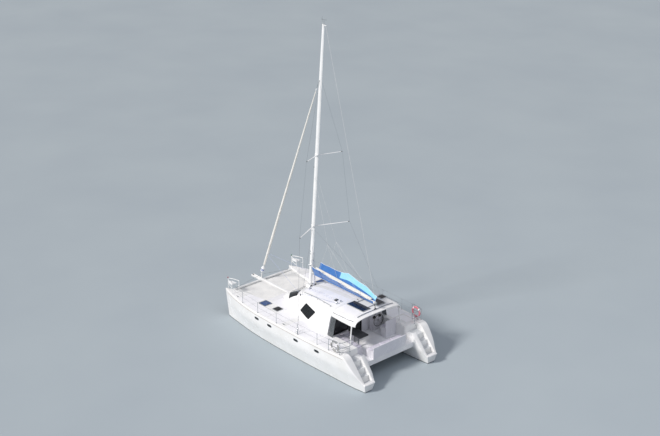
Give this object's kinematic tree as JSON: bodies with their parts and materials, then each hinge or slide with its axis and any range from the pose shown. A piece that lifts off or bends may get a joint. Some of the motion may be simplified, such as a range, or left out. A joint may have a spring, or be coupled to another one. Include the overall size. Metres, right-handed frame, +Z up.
{
  "type": "sailing catamaran",
  "caption": "Cruising sailing catamaran with a hardtop cockpit, sugar-scoop sterns, a raked mast, a boom with its sail in an open blue cover, and two engines.",
  "frame": {"origin": "amidships on the centreline, at the waterline", "axes": "+X forward, +Y to port, +Z up the mast"},
  "size_m": [12.2361, 6.26, 18.3556],
  "materials": {
    "gelcoat": "smooth sprayed gelcoat",
    "antifouling": "matt bottom paint",
    "engine_paint": "satin engine paint",
    "bronze": "cast and machined bronze",
    "tinted_acrylic": "dark tinted acrylic",
    "blue_acrylic": "blue tinted acrylic",
    "solar_glass": "glass over dark cells",
    "upholstery": "woven vinyl cloth",
    "black_rim": "stitched black rim cover",
    "wood": "varnished light wood",
    "painted_spar": "white powder coat",
    "stainless": "polished stainless",
    "net_mesh": "woven polyester mesh",
    "grey_buoy": "foam with a vinyl cover",
    "red_buoy": "foam with a vinyl cover",
    "blue_canvas": "acrylic canvas",
    "sailcloth": "woven polyester sailcloth"
  },
  "bodies": {
    "boat": {"port_hull": "gelcoat", "starboard_hull": "gelcoat", "bridgedeck": "gelcoat", "cabin_shell": "gelcoat", "saloon_bulkhead": "gelcoat", "hardtop": "gelcoat", "aft_bench": "gelcoat", "cockpit_settee": "gelcoat", "cockpit_table": "gelcoat", "helm_console": "gelcoat", "helm_seat": "gelcoat", "port_keel": "antifouling", "starboard_keel": "antifouling", "port_saildrive": "engine_paint", "starboard_saildrive": "engine_paint", "front_window": "tinted_acrylic", "port_side_window": "tinted_acrylic", "starboard_side_window": "tinted_acrylic", "bulkhead_window": "tinted_acrylic", "port_side_screen": "tinted_acrylic", "starboard_side_screen": "tinted_acrylic", "solar_panels": "solar_glass", "cockpit_cushion": "upholstery", "saloon_dinette": "wood", "galley_counter": "wood", "front_crossbeam": "painted_spar", "port_bow_pulpit": "painted_spar", "starboard_bow_pulpit": "painted_spar", "mast": "painted_spar", "lower_spreaders": "painted_spar", "upper_spreaders": "painted_spar", "port_lifelines": "stainless", "starboard_lifelines": "stainless", "port_shrouds": "stainless", "starboard_shrouds": "stainless", "port_foredeck_net": "net_mesh", "starboard_foredeck_net": "net_mesh", "port_lifebuoy": "grey_buoy", "starboard_lifebuoy": "red_buoy", "furled_headsail": "sailcloth"},
    "boom": {"boom": "painted_spar", "sail_cover": "blue_canvas", "flaked_mainsail": "sailcloth", "topping_lift": "stainless"},
    "port_rudder": {"port_rudder": "antifouling"},
    "starboard_rudder": {"starboard_rudder": "antifouling"},
    "steering_wheel": {"steering_wheel": "black_rim"},
    "port_propeller": {"port_propeller": "bronze"},
    "starboard_propeller": {"starboard_propeller": "bronze"},
    "saloon_door": {"saloon_door": "tinted_acrylic"},
    "port_fore_hatch": {"port_fore_hatch": "blue_acrylic"},
    "starboard_fore_hatch": {"starboard_fore_hatch": "blue_acrylic"},
    "port_cabin_hatch": {"port_cabin_hatch": "tinted_acrylic"},
    "starboard_cabin_hatch": {"starboard_cabin_hatch": "tinted_acrylic"},
    "port_engine_hatch": {"port_engine_hatch": "gelcoat"},
    "starboard_engine_hatch": {"starboard_engine_hatch": "gelcoat"},
    "aft_bench_lid": {"aft_bench_lid": "upholstery"},
    "helm_skylight": {"helm_skylight": "tinted_acrylic"}
  },
  "joints": [
    {"name": "boom_swing", "type": "hinge", "parent": "boat", "child": "boom", "pos_m": [0.95302, 0, 3.5], "axis": [-0.0768, 0, 0.997], "range_deg": [-40, 40]},
    {"name": "port_rudder_steer", "type": "hinge", "parent": "boat", "child": "port_rudder", "pos_m": [-5.05, 2.3, -0.3], "axis": [0, 0, 1], "range_deg": [-35, 35]},
    {"name": "starboard_rudder_steer", "type": "hinge", "parent": "boat", "child": "starboard_rudder", "pos_m": [-5.05, -2.3, -0.3], "axis": [0, 0, 1], "range_deg": [-35, 35]},
    {"name": "wheel_turn", "type": "hinge", "parent": "boat", "child": "steering_wheel", "pos_m": [-2.8, -1.3, 1.64], "axis": [1, 0, 0], "range_deg": [-270, 270]},
    {"name": "port_propeller_spin", "type": "hinge", "parent": "boat", "child": "port_propeller", "pos_m": [-3.85, 2.3, -0.82], "axis": [1, 0, 0], "continuous": true},
    {"name": "starboard_propeller_spin", "type": "hinge", "parent": "boat", "child": "starboard_propeller", "pos_m": [-3.85, -2.3, -0.82], "axis": [1, 0, 0], "continuous": true},
    {"name": "saloon_door_slide", "type": "slide", "parent": "boat", "child": "saloon_door", "axis": [0, 1, 0], "range_m": [0, 0.82]},
    {"name": "port_fore_hatch_open", "type": "hinge", "parent": "boat", "child": "port_fore_hatch", "pos_m": [2.88, 2.02, 1.7206], "axis": [0, 1, 0], "range_deg": [0, 90]},
    {"name": "starboard_fore_hatch_open", "type": "hinge", "parent": "boat", "child": "starboard_fore_hatch", "pos_m": [2.88, -2.02, 1.7206], "axis": [0, 1, 0], "range_deg": [0, 90]},
    {"name": "port_cabin_hatch_open", "type": "hinge", "parent": "boat", "child": "port_cabin_hatch", "pos_m": [1.84, 1.96, 1.7206], "axis": [0, 1, 0], "range_deg": [0, 90]},
    {"name": "starboard_cabin_hatch_open", "type": "hinge", "parent": "boat", "child": "starboard_cabin_hatch", "pos_m": [1.84, -1.96, 1.7206], "axis": [0, 1, 0], "range_deg": [0, 90]},
    {"name": "port_engine_hatch_open", "type": "hinge", "parent": "boat", "child": "port_engine_hatch", "pos_m": [-3.28, 2.34, 1.7206], "axis": [0, 1, 0], "range_deg": [0, 80]},
    {"name": "starboard_engine_hatch_open", "type": "hinge", "parent": "boat", "child": "starboard_engine_hatch", "pos_m": [-3.28, -2.34, 1.7206], "axis": [0, 1, 0], "range_deg": [0, 80]},
    {"name": "helm_skylight_open", "type": "hinge", "parent": "boat", "child": "helm_skylight", "pos_m": [-2.82, -1.3, 3.0906], "axis": [0, 1, 0], "range_deg": [0, 60]},
    {"name": "aft_bench_lid_open", "type": "hinge", "parent": "boat", "child": "aft_bench_lid", "pos_m": [-4.9, 0, 1.4806], "axis": [0, -1, 0], "range_deg": [0, 75]}
  ],
  "couplings": [
    {"joint": "starboard_rudder_steer", "follows": "port_rudder_steer", "ratio": 1},
    {"joint": "wheel_turn", "follows": "port_rudder_steer", "ratio": 7.7143}
  ]
}
